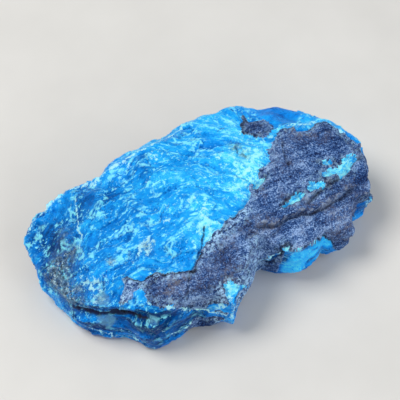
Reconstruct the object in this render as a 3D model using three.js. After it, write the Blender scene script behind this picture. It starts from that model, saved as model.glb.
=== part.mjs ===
// Raw amber nugget with the remains of its weathered crust, as found: one natural solid.
// Millimetres, +Z up, +X along the length, +Y towards the far long side.
// The origin is the middle of the bounding box, on the plane that the nugget rests on.
import * as THREE from "three";
import { ImprovedNoise } from "three/addons/math/ImprovedNoise.js";
import { mergeVertices } from "three/addons/utils/BufferGeometryUtils.js";

// Driving dimensions
const LENGTH = 104.6; // plan outline, end to end
const WIDTH = 60.2; // plan outline, side to side
const MID_HEIGHT = 12; // height that the flank's broken faces are set out from
const GRID = { length: 46, width: 26, height: 13 }; // divisions of the box that becomes the skin
const CRUST_THICKNESS = 1.2; // how far the crust stands above the bare amber
const CRUST_EDGE = 1.6; // half-width of the slope at the crust's edge
const CREVICE_DEPTH = 4.5; // how deep the crevice under the front lip goes
const CREVICE_HALF_HEIGHT = 1.5;
const FACET_BLEND = 0.6; // how softly neighbouring fracture faces meet
const FLANK_SQUARENESS = 2.4; // 2 gives a round flank, higher values a steeper one
const ROUNDING_ARC = 50; // degrees of bearing over which the grid's inner rings even out the outline
const ROUNDING_STEPS = 8; // steps in which that arc is sampled
const ROUNDING_POWER = 4; // higher values keep the rounding further from the edge

// Widest outline in plan, anticlockwise from the right end
const OUTLINE = [
  [51.8, 1.8], [48.8, 6.4], [45.4, 12.6], [40, 19], [34, 24.8], [28, 26.8], [24, 27.2], [20.5, 28.4],
  [16, 29], [9, 29.8], [5.5, 30.1], [-4, 29], [-12.5, 28.6], [-20.5, 26.1], [-26.6, 23], [-32, 26.2],
  [-39, 25.4], [-45.3, 25.5], [-50, 23.4], [-52.2, 15], [-51.9, 9.4], [-50.4, 1], [-48.4, -6.2],
  [-45.2, -11.6], [-38.3, -17], [-35, -20.8], [-31.9, -24.8], [-20.5, -24.7], [-17.3, -25.2], [-11.5, -28],
  [-9.3, -30.5], [-6.8, -28.4], [-1, -23.4], [3.2, -18.8], [8, -17.4], [11.6, -21], [16, -24.2],
  [23.6, -22.2], [28, -19.8], [31, -23.2], [34.4, -22.8], [37.4, -19.6], [41, -15.4], [45.2, -16],
  [46.9, -14.4], [47.8, -11.4], [49, -8.2], [52, -1.6],
];

// Flank by bearing in degrees from +X towards +Y:
// height of the widest line, and how far the top edge and the foot stand in from it
const FLANKS = [
  { bearing: -175, widest: 6, shoulder: 2, foot: 3.2 },
  { bearing: -160, widest: 4, shoulder: 0.6, foot: 2.6 },
  { bearing: -142, widest: 3, shoulder: 3.6, foot: 2 },
  { bearing: -122, widest: 4, shoulder: 2.6, foot: 6 },
  { bearing: -107, widest: 9, shoulder: 2, foot: 12 },
  { bearing: -75, widest: 9, shoulder: 1.2, foot: 13 },
  { bearing: -56, widest: 8, shoulder: 1.8, foot: 16 },
  { bearing: -38, widest: 12, shoulder: 2.5, foot: 19 },
  { bearing: -20, widest: 11, shoulder: 2.5, foot: 18 },
  { bearing: 0, widest: 13, shoulder: 4.6, foot: 10 },
  { bearing: 35, widest: 15, shoulder: 5, foot: 8 },
  { bearing: 90, widest: 15, shoulder: 6, foot: 6 },
  { bearing: 128, widest: 13, shoulder: 5, foot: 6 },
  { bearing: 142, widest: 12, shoulder: 3, foot: 6 },
  { bearing: 156, widest: 8, shoulder: 4, foot: 5 },
  { bearing: 170, widest: 6, shoulder: 3, foot: 4 },
];

// Fracture faces of the top: a point on each plane, and its fall per millimetre along a plan direction
const FACETS = [
  { name: "main amber face", at: [5, 5, 26.2], fall: 0.03, towards: [-1, -0.2] },
  { name: "left end", at: [-34, 18, 22], fall: 0.8, towards: [-0.99, 0.1] },
  { name: "front left", at: [-20, -14, 22.5], fall: 0.34, towards: [-0.76, -0.65] },
  { name: "crust plate", at: [25, 5, 25.2], fall: 0.2, towards: [1, -0.1] },
  { name: "lower crust plate", at: [20, -8, 23], fall: 0.4, towards: [0.2, -0.98] },
  { name: "far right", at: [33, 13, 24.2], fall: 0.42, towards: [0.45, 0.89] },
  { name: "right end", at: [46, 0, 19.6], fall: 0.6, towards: [1, 0.1] },
];

// Broken faces of the flanks: bearing and upward tilt of each in degrees, and its distance from the middle
const BREAKS = [
  { name: "far edge", bearing: 92, tilt: 45, reach: 26.6 },
  { name: "under the far side", bearing: 72, tilt: -22, reach: 28 },
  { name: "under the far left", bearing: 100, tilt: -40, reach: 26.5 },
  { name: "under the right end", bearing: 8, tilt: -38, reach: 42 },
  { name: "far right corner", bearing: 42, tilt: -25, reach: 40 },
  { name: "under the left end", bearing: 168, tilt: -30, reach: 48.5 },
];

// Edge of the dark crust in plan, anticlockwise from the far right rim
const CRUST_OUTLINE = [
  [55, 3], [48.5, 9.5], [44, 11.5], [42, 10.8], [37.5, 10], [34, 11.3], [30, 13], [28, 10.3], [25, 8.6],
  [22.5, 7], [22.2, 3.8], [20.5, 0.7], [17.5, 0.5], [15, -1], [10, -5], [7.5, -7.2], [3, -9.6], [-0.5, -10.3],
  [-7, -12], [-10.8, -14.3], [-12.3, -15.8], [-14.8, -17], [-21.7, -15.3], [-29.4, -12], [-32.6, -10.7],
  [-35, -13], [-37.5, -15.9], [-36, -16.8], [-33.8, -16.1], [-32, -14.6], [-30, -18.9], [-26, -22.4],
  [-21, -24.8], [-15.9, -27], [-9, -25.6], [-3.7, -24.3], [2.3, -24], [9.5, -22], [14, -21.8], [22, -24],
  [27, -25], [31, -28], [40, -24], [50, -16], [55, -8],
];

// Bedding ledges of the crust: a line along the length, the ground in front of it being lower by the drop
const LEDGES = [
  { drop: 1.3, line: [[10, -11.7], [16, -12], [27, -10.8], [32, -10], [38.5, -8.5], [44, -5.6]] },
  { drop: 1.5, line: [[4, -14.6], [8.5, -15], [19, -15.6], [24, -15.6], [29, -14.2], [38, -12]] },
];
const LEDGE_SLOPE = 1.5; // half-width of a ledge's face
const LEDGE_FADE = 7; // length over which a ledge dies out at its ends

// Crevice under the front lip, by bearing: its height, and how much of the full depth it has
const CREVICE = [
  { bearing: 183, height: 8, share: 0 },
  { bearing: 189, height: 9.9, share: 0.6 },
  { bearing: 196, height: 12, share: 1 },
  { bearing: 204, height: 13.6, share: 0.9 },
  { bearing: 214, height: 14.9, share: 0.45 },
  { bearing: 228, height: 15.8, share: 0 },
];

// Local lumps and hollows of the top: plan position, radius and height
const LUMPS = [
  { name: "far knob", at: [18, 25], radius: 4, height: 3 },
  { name: "tooth at the right end", at: [45.5, -14.5], radius: 3, height: -2.5 },
  { name: "scoop before the crust", at: [11, 9], radius: 11, height: -0.9 },
  { name: "swell of the amber face", at: [-14, 6], radius: 15, height: 1 },
  { name: "hollow at the far left", at: [-28.4, 22.5], radius: 5, height: -3.6 },
  { name: "swell behind the crack", at: [-19, -10], radius: 7, height: 0.9 },
];

// Shell-shaped scoops of the broken faces, which meet in ridges: wavelength and depth of each size
const SCOOPS = [
  { wavelength: 24, depth: 2.6 },
  { wavelength: 11, depth: 1.8 },
  { wavelength: 6, depth: 0.6 },
];
const SCOOP_MEAN = 0.2; // share of the depth that the scoops take away on average
const SCOOP_FADE = 2.5; // the scoops die out towards the resting plane over this height

// Beds that stand out one below the other on the flanks
const BED_HEIGHT = 6.5;
const BED_STEP = 1.2;
const BED_MEAN = 0.4; // share of the step that the beds would take away on average
const BED_WANDER = 3; // how far a bed rises and falls around the nugget
const BED_WAVES = 2; // how often it does so, higher values giving more waves
const BED_TURN = 0.35; // share of a bed's height that each of its two edges takes
const BED_MARGIN = 3; // height over which the beds fade at the top edge and the foot

const HOLLOW_WAVELENGTH = 17; // shallow hollows of the underside, between the patches that it rests on
const HOLLOW_DEPTH = 3.2;
const HOLLOW_ONSET = 0.12;

const { clamp, degToRad, euclideanModulo, lerp, radToDeg, smoothstep } = THREE.MathUtils;
const FULL_TURN = 2 * Math.PI;
const OUTLINE_SAMPLES = 720;
const CRUST_SAMPLES = 240;
const MERGE_DISTANCE = 1e-5;
const noise = new ImprovedNoise();

// A closed smooth curve through plan points, as evenly spaced points
function closedCurve(points, count) {
  const knots = points.map(([x, y]) => new THREE.Vector3(x, y, 0));
  return new THREE.CatmullRomCurve3(knots, true, "centripetal").getSpacedPoints(count).slice(0, -1);
}

// The outline's distance from the origin, by bearing
function outlineRadius() {
  const samples = closedCurve(OUTLINE, OUTLINE_SAMPLES)
    .map((p) => ({ angle: euclideanModulo(Math.atan2(p.y, p.x), FULL_TURN), radius: Math.hypot(p.x, p.y) }))
    .sort((a, b) => a.angle - b.angle);
  return (bearing) => {
    const angle = euclideanModulo(bearing, FULL_TURN);
    const after = Math.max(samples.findIndex((s) => s.angle > angle), 0);
    const a = samples[(after + samples.length - 1) % samples.length];
    const b = samples[after];
    const gap = euclideanModulo(b.angle - a.angle, FULL_TURN);
    return lerp(a.radius, b.radius, gap > 0 ? euclideanModulo(angle - a.angle, FULL_TURN) / gap : 0);
  };
}

// The outline's distance from the origin, evened out over the neighbouring bearings
function roundedRadius(bearing) {
  let sum = 0;
  for (let i = 0; i <= ROUNDING_STEPS; i++) {
    sum += radiusAt(bearing + degToRad(ROUNDING_ARC) * (i / ROUNDING_STEPS - 0.5));
  }
  return sum / (ROUNDING_STEPS + 1);
}

// A value from a table of rows with bearings, eased between neighbouring rows all the way round
function byBearing(rows, key, bearing) {
  const turned = rows.map((row) => euclideanModulo(radToDeg(bearing) - row.bearing, 360));
  const before = turned.indexOf(Math.min(...turned));
  const next = (before + 1) % rows.length;
  const span = euclideanModulo(rows[next].bearing - rows[before].bearing, 360);
  return lerp(rows[before][key], rows[next][key], smoothstep(turned[before], 0, span));
}

// Signed distance in plan to a closed ring of points, positive inside it
function distanceInside(ring, x, y) {
  let nearest = Infinity;
  let inside = false;
  ring.forEach((a, i) => {
    const b = ring[(i + 1) % ring.length];
    const along = clamp(((x - a.x) * (b.x - a.x) + (y - a.y) * (b.y - a.y)) / a.distanceToSquared(b), 0, 1);
    nearest = Math.min(nearest, Math.hypot(x - lerp(a.x, b.x, along), y - lerp(a.y, b.y, along)));
    const crosses = a.y > y !== b.y > y && x < a.x + ((y - a.y) / (b.y - a.y)) * (b.x - a.x);
    if (crosses) inside = !inside;
  });
  return inside ? nearest : -nearest;
}

// Height lost at a plan position to one bedding ledge
function ledgeDrop({ line, drop }, x, y) {
  const start = line[0][0];
  const end = line[line.length - 1][0];
  const present = smoothstep(x, start - LEDGE_FADE, start) * (1 - smoothstep(x, end, end + LEDGE_FADE));
  const right = clamp(line.findIndex((p) => p[0] > x), 1, line.length - 1);
  const [a, b] = [line[right - 1], line[right]];
  const lineY = lerp(a[1], b[1], clamp((x - a[0]) / (b[0] - a[0]), 0, 1));
  return drop * present * (1 - smoothstep(y - lineY, -LEDGE_SLOPE, LEDGE_SLOPE));
}

const radiusAt = outlineRadius();
const crustRing = closedCurve(CRUST_OUTLINE, CRUST_SAMPLES);

// Height of the top surface at a plan position: the lowest fracture face, with its lumps, crust and ledges
function topHeight(x, y) {
  const planes = FACETS.map(({ at, fall, towards }) => {
    const along = (x - at[0]) * towards[0] + (y - at[1]) * towards[1];
    return at[2] - (fall * along) / Math.hypot(...towards);
  });
  const lowest = Math.min(...planes);
  const spread = planes.reduce((sum, z) => sum + Math.exp((lowest - z) / FACET_BLEND), 0);
  const lumps = LUMPS.reduce((sum, { at, radius, height }) => {
    return sum + height * Math.exp(-(((x - at[0]) ** 2 + (y - at[1]) ** 2) / radius ** 2));
  }, 0);
  const crust = smoothstep(distanceInside(crustRing, x, y), -CRUST_EDGE, CRUST_EDGE);
  const ledges = LEDGES.reduce((sum, ledge) => sum + ledgeDrop(ledge, x, y), 0);
  return lowest - FACET_BLEND * Math.log(spread) + lumps + crust * (CRUST_THICKNESS - ledges);
}

// How far the crevice cuts into the flank at a bearing and height
function creviceCut(bearing, z) {
  const degrees = euclideanModulo(radToDeg(bearing), 360);
  if (degrees < CREVICE[0].bearing || degrees > CREVICE[CREVICE.length - 1].bearing) return 0;
  const away = (z - byBearing(CREVICE, "height", bearing)) / CREVICE_HALF_HEIGHT;
  return CREVICE_DEPTH * byBearing(CREVICE, "share", bearing) * Math.exp(-away * away);
}

// How far the wall stands back at a bearing and height because of its beds
function bedCut(bearing, z, lip) {
  const wave = noise.noise(BED_WAVES * Math.cos(bearing), BED_WAVES * Math.sin(bearing), 0.5);
  const rise = euclideanModulo((z + BED_WANDER * wave) / BED_HEIGHT, 1);
  const shelf = smoothstep(rise, 0, BED_TURN) - smoothstep(rise, 1 - BED_TURN, 1);
  const cut = BED_STEP * (shelf - BED_MEAN);
  return cut * smoothstep(z, 0, BED_MARGIN) * (1 - smoothstep(z, lip - BED_MARGIN, lip));
}

// Point of the smooth nugget for a point on the skin of a box that reaches from -1 to 1
function skinPoint(box) {
  const bearing = Math.atan2(box.y * WIDTH, box.x * LENGTH);
  const share = Math.max(Math.abs(box.x), Math.abs(box.y));
  const at = (radius) => [radius * Math.cos(bearing), radius * Math.sin(bearing)];
  const rim = radiusAt(bearing);
  const widest = byBearing(FLANKS, "widest", bearing);
  const shoulder = rim - byBearing(FLANKS, "shoulder", bearing);
  const foot = rim - byBearing(FLANKS, "foot", bearing);
  if (share < 1) {
    const inset = rim - (box.z > 0 ? shoulder : foot);
    const [x, y] = at(share * (lerp(roundedRadius(bearing), rim, share ** ROUNDING_POWER) - inset));
    return new THREE.Vector3(x, y, box.z > 0 ? topHeight(x, y) : 0);
  }
  const lip = topHeight(...at(shoulder));
  const upper = lip - widest + (rim - shoulder);
  const lower = widest + (rim - foot);
  const down = ((1 - box.z) / 2) * (upper + lower);
  const power = 2 / FLANK_SQUARENESS;
  const turn = (Math.PI / 2) * Math.min(down < upper ? down / upper : (down - upper) / lower, 1);
  const across = Math.sin(turn) ** power;
  const along = Math.cos(turn) ** power;
  const out = down < upper ? across : along;
  const z = down < upper ? lerp(widest, lip, along) : widest * (1 - across);
  const wall = lerp(down < upper ? shoulder : foot, rim, out);
  return new THREE.Vector3(...at(wall - creviceCut(bearing, z) - bedCut(bearing, z, lip)), z);
}

// Draws a point that stands outside a broken face back onto it
function breakOff(point) {
  for (const { bearing, tilt, reach } of BREAKS) {
    const level = Math.cos(degToRad(tilt));
    const normal = new THREE.Vector3(
      level * Math.cos(degToRad(bearing)),
      level * Math.sin(degToRad(bearing)),
      Math.sin(degToRad(tilt)),
    );
    const beyond = normal.dot(point) - normal.z * MID_HEIGHT - reach;
    if (beyond > 0) point.addScaledVector(normal, -beyond);
  }
  return point;
}

function noiseAt(point, wavelength) {
  return noise.noise(point.x / wavelength, point.y / wavelength, point.z / wavelength);
}

// Scoops a point along its normal, and hollows the underside between its resting patches
function roughen(point, outward) {
  const relief = SCOOPS.reduce((sum, { wavelength, depth }) => {
    return sum + depth * (SCOOP_MEAN - Math.abs(noiseAt(point, wavelength)));
  }, 0);
  const hollow = HOLLOW_DEPTH * Math.max(noiseAt(point, HOLLOW_WAVELENGTH) - HOLLOW_ONSET, 0);
  const raised = smoothstep(point.z, 0, SCOOP_FADE);
  point.addScaledVector(outward, relief * raised);
  point.z = Math.max(point.z + hollow * (1 - raised), 0);
}

// The skin: a finely divided box wrapped on the nugget's form, broken off and scooped
function nuggetGeometry() {
  const box = new THREE.BoxGeometry(2, 2, 2, GRID.length, GRID.width, GRID.height);
  box.deleteAttribute("normal");
  box.deleteAttribute("uv");
  const skin = mergeVertices(box, MERGE_DISTANCE);
  const position = skin.getAttribute("position");
  const point = new THREE.Vector3();
  for (let i = 0; i < position.count; i++) {
    position.setXYZ(i, ...breakOff(skinPoint(point.fromBufferAttribute(position, i))));
  }
  skin.computeVertexNormals();
  const normal = skin.getAttribute("normal");
  const outward = new THREE.Vector3();
  for (let i = 0; i < position.count; i++) {
    roughen(point.fromBufferAttribute(position, i), outward.fromBufferAttribute(normal, i));
    position.setXYZ(i, ...point);
  }
  skin.deleteAttribute("normal");
  skin.computeBoundingBox();
  const middle = skin.boundingBox.getCenter(new THREE.Vector3());
  return skin.translate(-middle.x, -middle.y, 0);
}

const amber = new THREE.MeshStandardMaterial({ name: "amber", color: 0x2f9be8, roughness: 0.35 });
const nugget = new THREE.Mesh(nuggetGeometry(), amber);
nugget.name = "nugget";

const model = new THREE.Group();
model.add(nugget);
export default model;
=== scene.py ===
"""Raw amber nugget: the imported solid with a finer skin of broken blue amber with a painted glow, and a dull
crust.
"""
import math

import bpy
import numpy as np
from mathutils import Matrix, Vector, noise


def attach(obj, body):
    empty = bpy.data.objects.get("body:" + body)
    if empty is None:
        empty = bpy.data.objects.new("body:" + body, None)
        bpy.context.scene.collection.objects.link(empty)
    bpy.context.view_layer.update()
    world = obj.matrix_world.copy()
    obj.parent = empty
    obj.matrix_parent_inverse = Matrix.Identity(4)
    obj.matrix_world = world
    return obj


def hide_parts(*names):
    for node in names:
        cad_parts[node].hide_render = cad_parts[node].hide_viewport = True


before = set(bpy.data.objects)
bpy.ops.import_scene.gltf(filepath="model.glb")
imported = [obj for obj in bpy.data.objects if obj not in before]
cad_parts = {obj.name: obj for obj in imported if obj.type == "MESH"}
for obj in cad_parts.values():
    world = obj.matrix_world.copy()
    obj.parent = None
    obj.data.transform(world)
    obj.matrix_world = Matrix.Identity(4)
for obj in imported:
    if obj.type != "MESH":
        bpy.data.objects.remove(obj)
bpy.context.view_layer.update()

MM = 0.001  # the script's own lengths are in millimetres, Blender's in metres

# Fine skin
VOXEL = 0.435
RESTING_BAND = 1.5  # height over which the fine relief dies out towards the resting plane
LIFT_RANGE = (-1.6, 1.4)  # lowest and highest change of height at the crust's edge and ledges

# Crust
CRUST_THICKNESS = 1.2  # as on the solid
CRUST_STEP = 0.8  # share of the thickness that stands as a step at the crust's edge
CRUST_SOFT_EDGE = 1.6  # half-width of the crust's edge on the solid
CRUST_CRISP_EDGE = 0.45  # and on the fine skin
BED_SPACING = 3.1  # distance between the thin beds of the crust
BED_STEP = 0.26
BED_SLOPE = 0.18  # the beds run along the length and drift across the width by this much
BEDS_ONSET = (-0.3, 0.3)  # level of their noise at which the beds come and go

# Flakes of the amber: size, height of their steps and contrast of their tones
FLAKES = [(6.5, 1.1, 0.2), (2.6, 0.5, 0.14)]
FLAKE_WARP = 0.35  # how far the flakes' edges wander, in sizes
FLAKE_WARP_LENGTH = 0.6  # over which length they do so, in sizes
FLAKE_WARP_OFFSET = 20
FLAKE_LEVEL = 0.6  # share of a step that comes from a flake's level
FLAKE_TILT = 0.5  # and from its tilt
HASH = (12.9, 78.2, 37.7)  # turns a flake's centre into a level of its own, with the next number
HASH_GAIN = 43758.5
TURN_GAIN = 7  # and the level into the direction of its tilt

# The amber's grain bends round from this place along the length, at this rate and up to this much
BEND_START = -8
BEND_RATE = 0.024
BEND_LIMIT = 20
GRAIN_STRETCH = 0.5  # scale along the grain

# Layers of smooth noise that break up what they are named after: height, wavelength and offset
WAVES = {
    "crust edge": [(0.9, 4.5, 0), (0.8, 2, 7), (0.35, 0.9, 3)],
    "fleck": [(0.5, 1.6, 14)],
    "hidden crust": [(9, 16, 4)],
    "ledge": [(0.6, 5, 11), (0.2, 1.2, 13)],
    "amber flow": [(3.6, 14, 31), (1.6, 6, 37)],
    "amber swell": [(0.3, 4, 5)],
    "amber grain": [(0.16, 1, 9)],
    "scuff pits": [(1, 1.1, 15)],
    "wall beds": [(0.28, 1.6, 21)],
    "wall bands": [(0.14, 1.3, 25)],
    "crust beds": [(1.6, 9, 1), (0.7, 2.8, 3)],
    "crust beds present": [(1, 8, 12)],
    "crust grain": [(0.3, 4, 6), (0.24, 1.4, 2), (0.2, 0.75, 4)],
    "crevice": [(0.3, 1.2, 17)],
    "gap present": [(1, 7, 23)],
    "clear patch": [(0.12, 3, 27)],
    "crack": [(0.25, 1.2, 8)],
    "ridge": [(0.25, 1.6, 5)],
    "milky": [(0.12, 1.4, 19)],
}

# Where a face counts as one of these, by the upright part of its normal or its place across the width
UPWARD_NORMAL = (0.1, 0.5)
WALL_NORMAL = (0.6, 0.3)
WALL_SIDE = (-4, -10)
FAR_NORMAL = (0.5, 0.1)
FAR_SIDE = (6, 14)
UNDERSIDE_NORMAL = (-0.2, -0.6)
HIDDEN_CRUST_LOSS = 1.08  # keeps more than half of the far side and the underside bare

# Edge of the dark crust in plan, anticlockwise from the right rim
CRUST_OUTLINE = [
    (56, -2), (49.3, -1), (46.7, 2.3), (45.5, 6.4), (44.2, 8.9), (41, 9.7), (36.1, 8.4), (32, 9.9),
    (30, 11.7), (28.4, 11.2), (25.5, 8.9), (23.1, 6.7), (21.3, 4.9), (21, 2.2), (17.8, 1), (16.6, 2),
    (14.5, -0.9), (11.3, -2.1), (10.1, -5), (8.5, -6.4), (5.2, -7.7), (1.3, -8.7), (-1.4, -9.8),
    (-5.4, -11.1), (-9.3, -12.9), (-12.5, -15.7), (-15.3, -17.9), (-17.6, -17.6), (-20.3, -16.8),
    (-22.8, -15.6), (-26, -14), (-28.6, -13.5), (-30.6, -12), (-32.9, -10.2), (-34.5, -13.4),
    (-37.4, -15.2), (-35.7, -16.3), (-33.6, -15.9), (-32.2, -14.9), (-30, -16.3), (-30.3, -18.5),
    (-29.6, -20.8), (-26.8, -23.2), (-23, -25), (-18, -26.5), (-12, -29), (-5, -28), (2, -26), (9.5, -24),
    (22, -27), (31, -29), (40, -25), (50, -18), (56, -9),
]

# A patch of crust that stands alone in the amber beside the main plate
CRUST_ISLAND = [
    (22.2, 21.9), (23.5, 19.3), (26.6, 17.4), (28.9, 14.5), (26.4, 11.6), (22.4, 10.6), (19.9, 12.9),
    (19, 16.7),
]

# Height on the front wall below which the crust gives way to amber, by position along the length
CRUST_FOOT = [
    (-40, 18), (-30, 18.4), (-25, 18.6), (-22.5, 16.6), (-20.2, 14.6), (-16.6, 12), (-14, 10.6),
    (-11.8, 9.4), (-7.5, 9), (-5, 4), (-3, -9), (11, -9), (12.4, 17), (17, 16.8), (20, 15.4),
    (25.6, 13.4), (28.5, 9.5), (30, 4), (33, -9), (39.5, -9), (40.5, 13), (46, 13.5), (48, -9),
]

# A dark patch of crust low on the front wall, a painted shade where the overhang's shade falls: points along
# the length and up
SHADED_WALL_PATCH = [(-19.5, 6), (-17, 7.6), (-13, 7), (-9.6, 6.8), (-9.4, 3), (-11, -2), (-17, -2), (-21, 2)]

# Edges along which the crust is worn off to bare amber: half-width and points
BARE_EDGES = [
    (1.3, [(-8.2, -26, 19), (-8.9, -28, 17.1), (-8.8, -28.9, 15.2), (-8.5, -29.7, 12.9), (-8.6, -29.4, 9.3)]),
    (0.5, [(8.4, -18.2, 9), (9.7, -19.2, 11.6), (11.1, -20.1, 13.9), (12.2, -21.4, 17), (13.6, -21.6, 17.8)]),
    (0.8, [(-6, -26.6, 18), (-3.2, -25.3, 15.5), (-1.5, -24, 11.5), (1.3, -21.4, 9.1)]),
    (1.7, [(-13.5, -25.8, 12), (-11, -27.2, 12.7), (-9.6, -28.6, 12)]),
]

# Stretches of the crust's edge with an open gap between the amber and the crust, in plan
OPEN_CONTACTS = [
    [(-31, -12), (-26, -14.2), (-20.3, -16.8), (-15.3, -17.9), (-12.5, -15.7)],
    [(13, -22), (17.5, -22.4), (21.8, -22.8), (26, -21), (29.2, -21.5)],
]
GAP_DEPTH = 0.7
GAP_INSET = 0.4  # from the crust's edge
GAP_HALF_WIDTH = 0.35
GAP_REACH = (3, 1.5)  # distances from those stretches over which the gap opens
GAP_ELSEWHERE = 0.7  # strength of the gap away from them
GAP_ONSET = (0, 0.35)  # and the level of its noise at which it opens there

# Stretches of the crust's edge that are crumbled and full of amber grains: half-width and plan points
CRUMBLED = [
    (2.6, [(-9.5, -13.8), (-4, -12), (1.3, -10.4), (6, -9)]),
    (1.6, [(-36.5, -15.5), (-34, -12.6), (-30, -13.2), (-25, -15), (-20, -17.2)]),
    (2.4, [(-11, -27), (-7, -27.4), (-3, -25.4), (1.3, -21.6), (5, -18.4)]),
]

# Bedding ledges of the solid, which has them as soft slopes: the drop, and plan points along the length
SOFT_LEDGES = [
    (1.3, [(10, -11.7), (16, -12), (27, -10.8), (32, -10), (38.5, -8.5), (44, -5.6)]),
    (1.5, [(4, -14.6), (8.5, -15), (19, -15.6), (24, -15.6), (29, -14.2), (38, -12)]),
]
SOFT_SLOPE = 1.5  # half-width of such a slope
SOFT_FADE = 7  # length over which a ledge dies out at its ends

# The same ledges as crisp steps, and a smaller one: the drop, the height of the lip, and plan points
LEDGES = [
    (1.2, 0.1, [(26, -12), (29.1, -11.2), (31.9, -10.5), (35.2, -9.5), (38.7, -8.2), (42.7, -6.6),
                (45.5, -5.4)]),
    (1.6, 0.1, [(9.5, -14), (12.6, -15.1), (17, -14.3), (21.2, -14.5), (24.4, -14.8), (28.1, -14.8),
                (31.3, -14.5), (34.5, -13.7), (37.8, -12.7)]),
    (0.4, 0.1, [(5, -14.6), (7.5, -16), (10.1, -16.8), (12.4, -16.6), (14.6, -15.4)]),
]
CRISP_SLOPE = 0.25
CRISP_FADE = 4
LIP_FALL = 1.5  # how far back a lip dies out
FOOT_FALL = 0.8  # and how far in front the hollow at its foot does
# the dark line along a foot is a painted shadow, the pale line along a lip a painted highlight
FOOT_PLACE = -0.4  # middle of the dark line along a foot, and of the pale line along a lip
LIP_PLACE = 0.3
LEDGE_LINE = 0.35  # half-width of those lines
FOOT_SHADE = 0.8

# Bare flecks of amber in the crust: plan position, half-length, half-width and slant in plan
FLECKS = [
    (50.2, -2.5, 1.3, 1.7, 0.2), (43.4, -5.2, 3, 1.2, 0.3), (38.8, -7.6, 3, 1.2, 0.1),
    (34.6, -7.4, 2, 0.9, 0), (36.2, -4.2, 1.9, 0.8, -0.05), (29.4, -9.7, 3, 1.2, -0.05),
    (22.4, -10.7, 2.6, 0.9, -0.05), (18.7, -11.3, 1.5, 0.5, 0), (13.8, -2.8, 2.2, 0.9, 0.2),
]
FLECK_EDGE = 1.5  # millimetres of cover for each half-width away from a fleck
FLECK_RAGGED = 0.7  # share of the crust edge's raggedness on a fleck
FLECK_INSET = 1  # bare amber this far inside the crust's outline is brighter
FLECK_TONE = 0.25

# Cracks: half-width, depth and plan points
CRACKS = [
    (0.2, 0.6, [(-6.7, -8.4), (-7.6, -10), (-8.9, -11.3), (-10, -13.2), (-11.4, -14.2)]),
    (0.18, 0.5, [(-11.4, -14.2), (-13.6, -16.5), (-16.6, -18.7), (-18.7, -21.6), (-20.3, -24)]),
    (0.14, 0.4, [(11.7, 18.3), (13.4, 18.9), (14.8, 18.1)]),
    (0.12, 0.4, [(13.2, 8.6), (14.2, 10.2), (14, 11.8)]),
    (0.2, 0.5, [(28, 8), (26.6, 5.4), (25.4, 2), (24.6, -2)]),
]
CRACK_SHADE = 0.2  # a crack is this much darker than its depth in millimetres

# Ridge of the left end: a pale broken line in plan
RIDGE = [(-32, 23.3), (-33.6, 19.3), (-35.7, 14.5), (-37.2, 10), (-37.3, 7.8), (-40, 4.5)]
RIDGE_HALF_WIDTH = 0.4
RIDGE_SCUFF = 0.8

# Painted shade of the crevice under the front lip: bearing, height and half-height
CREVICE = [
    (185, 8.3, 0.05), (189, 9.6, 0.5), (192.5, 10.6, 0.8), (195, 11.3, 1.2), (198, 12, 1.5),
    (202, 12.8, 1.3), (206, 13.5, 0.7), (211, 14.2, 0.35), (216, 14.7, 0.05),
]
CREVICE_EDGE = (1.3, 0.7)  # where the dark begins and is full, in half-heights

# Smooth, clear faces of the front wall: points along the length and up
CLEAR_FACES = [
    [(12.4, 4), (12.6, 8.2), (13.5, 13.8), (15.5, 16.6), (19.9, 14), (24.6, 10.4), (20.2, 8.8),
     (16.9, 6.4), (15, 4)],
    [(22.5, 13.4), (25.4, 13.6), (29.4, 8), (25.3, 8.6)],
]
CLEAR_FACE_EDGE = (-0.5, 0.5)

# And elsewhere: position, radius and strength
CLEAR_PATCHES = [(33.5, 19.5, 22.5, 7, 1), (-31, 16, 23.5, 4, 0.7), (-43.5, 17.8, 14.2, 3, 0.7)]
CLEAR_PATCH_EDGE = (0.36, 0.46)
CLEAR_RELIEF_LOSS = 0.8  # share of the amber's relief that a clear face lacks
CLEAR_WALL = 0.55  # how clear the rest of the front wall looks

# Tone of the front wall on clear faces, a painted light, and elsewhere, a painted shade, and the scales that
# draw out its beds and bands
CLEAR_WALL_TONE = 0.2
WALL_TONE = -0.31
WALL_BED_STRETCH = (0.2, 0.2, 1)
WALL_BAND_STRETCH = (0.15, 0.15, 1)

# Tone of the amber, mostly its own, with painted shade where it darkens the left end and the front wall:
# position, radius and how much brighter or darker it is there
TONES = [
    (9.6, 10.5, 25, 5, 0.1), (14, 3.5, 25, 5, 0.15), (9.5, -0.9, 25, 5, 0.12), (6.2, -3.5, 25, 4.5, 0.1),
    (0, -6.6, 25, 4.5, 0.08), (-6.8, -9.7, 24, 3, 0.12), (15.4, 15.7, 26, 4, 0.12),
    (18.5, 25.5, 27, 5, -0.16), (18.5, 7, 26, 4, 0.12), (-4.4, -5, 26, 4, 0.08), (7.7, 18, 26, 6, -0.12),
    (0.5, 13.6, 26, 6, -0.06), (-12.6, 19.9, 26, 5, -0.08), (-31, 16, 23, 7, -0.3), (-27, 8, 24, 7, -0.1),
    (-46, 19, 12, 10, -0.36), (-44, 9, 14, 8, -0.3), (-48, 0, 11, 9, -0.26), (-16, -13, 24, 4, -0.06),
    (33.5, 19.5, 22, 6, -0.2), (-35, -6, 20, 9, -0.12), (-22, -9, 24, 7, -0.08), (-42, -14, 8, 7, -0.16),
    (-46, -8, 8, 5, -0.14), (-33.4, -20.6, 14.1, 4, -0.28), (-30, -23, 14, 5, -0.5),
    (-21, -5, 25, 7, -0.06), (-20, -25, 9, 6, -0.16), (-11, -27.2, 12.8, 3.5, 0.4),
]

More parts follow.
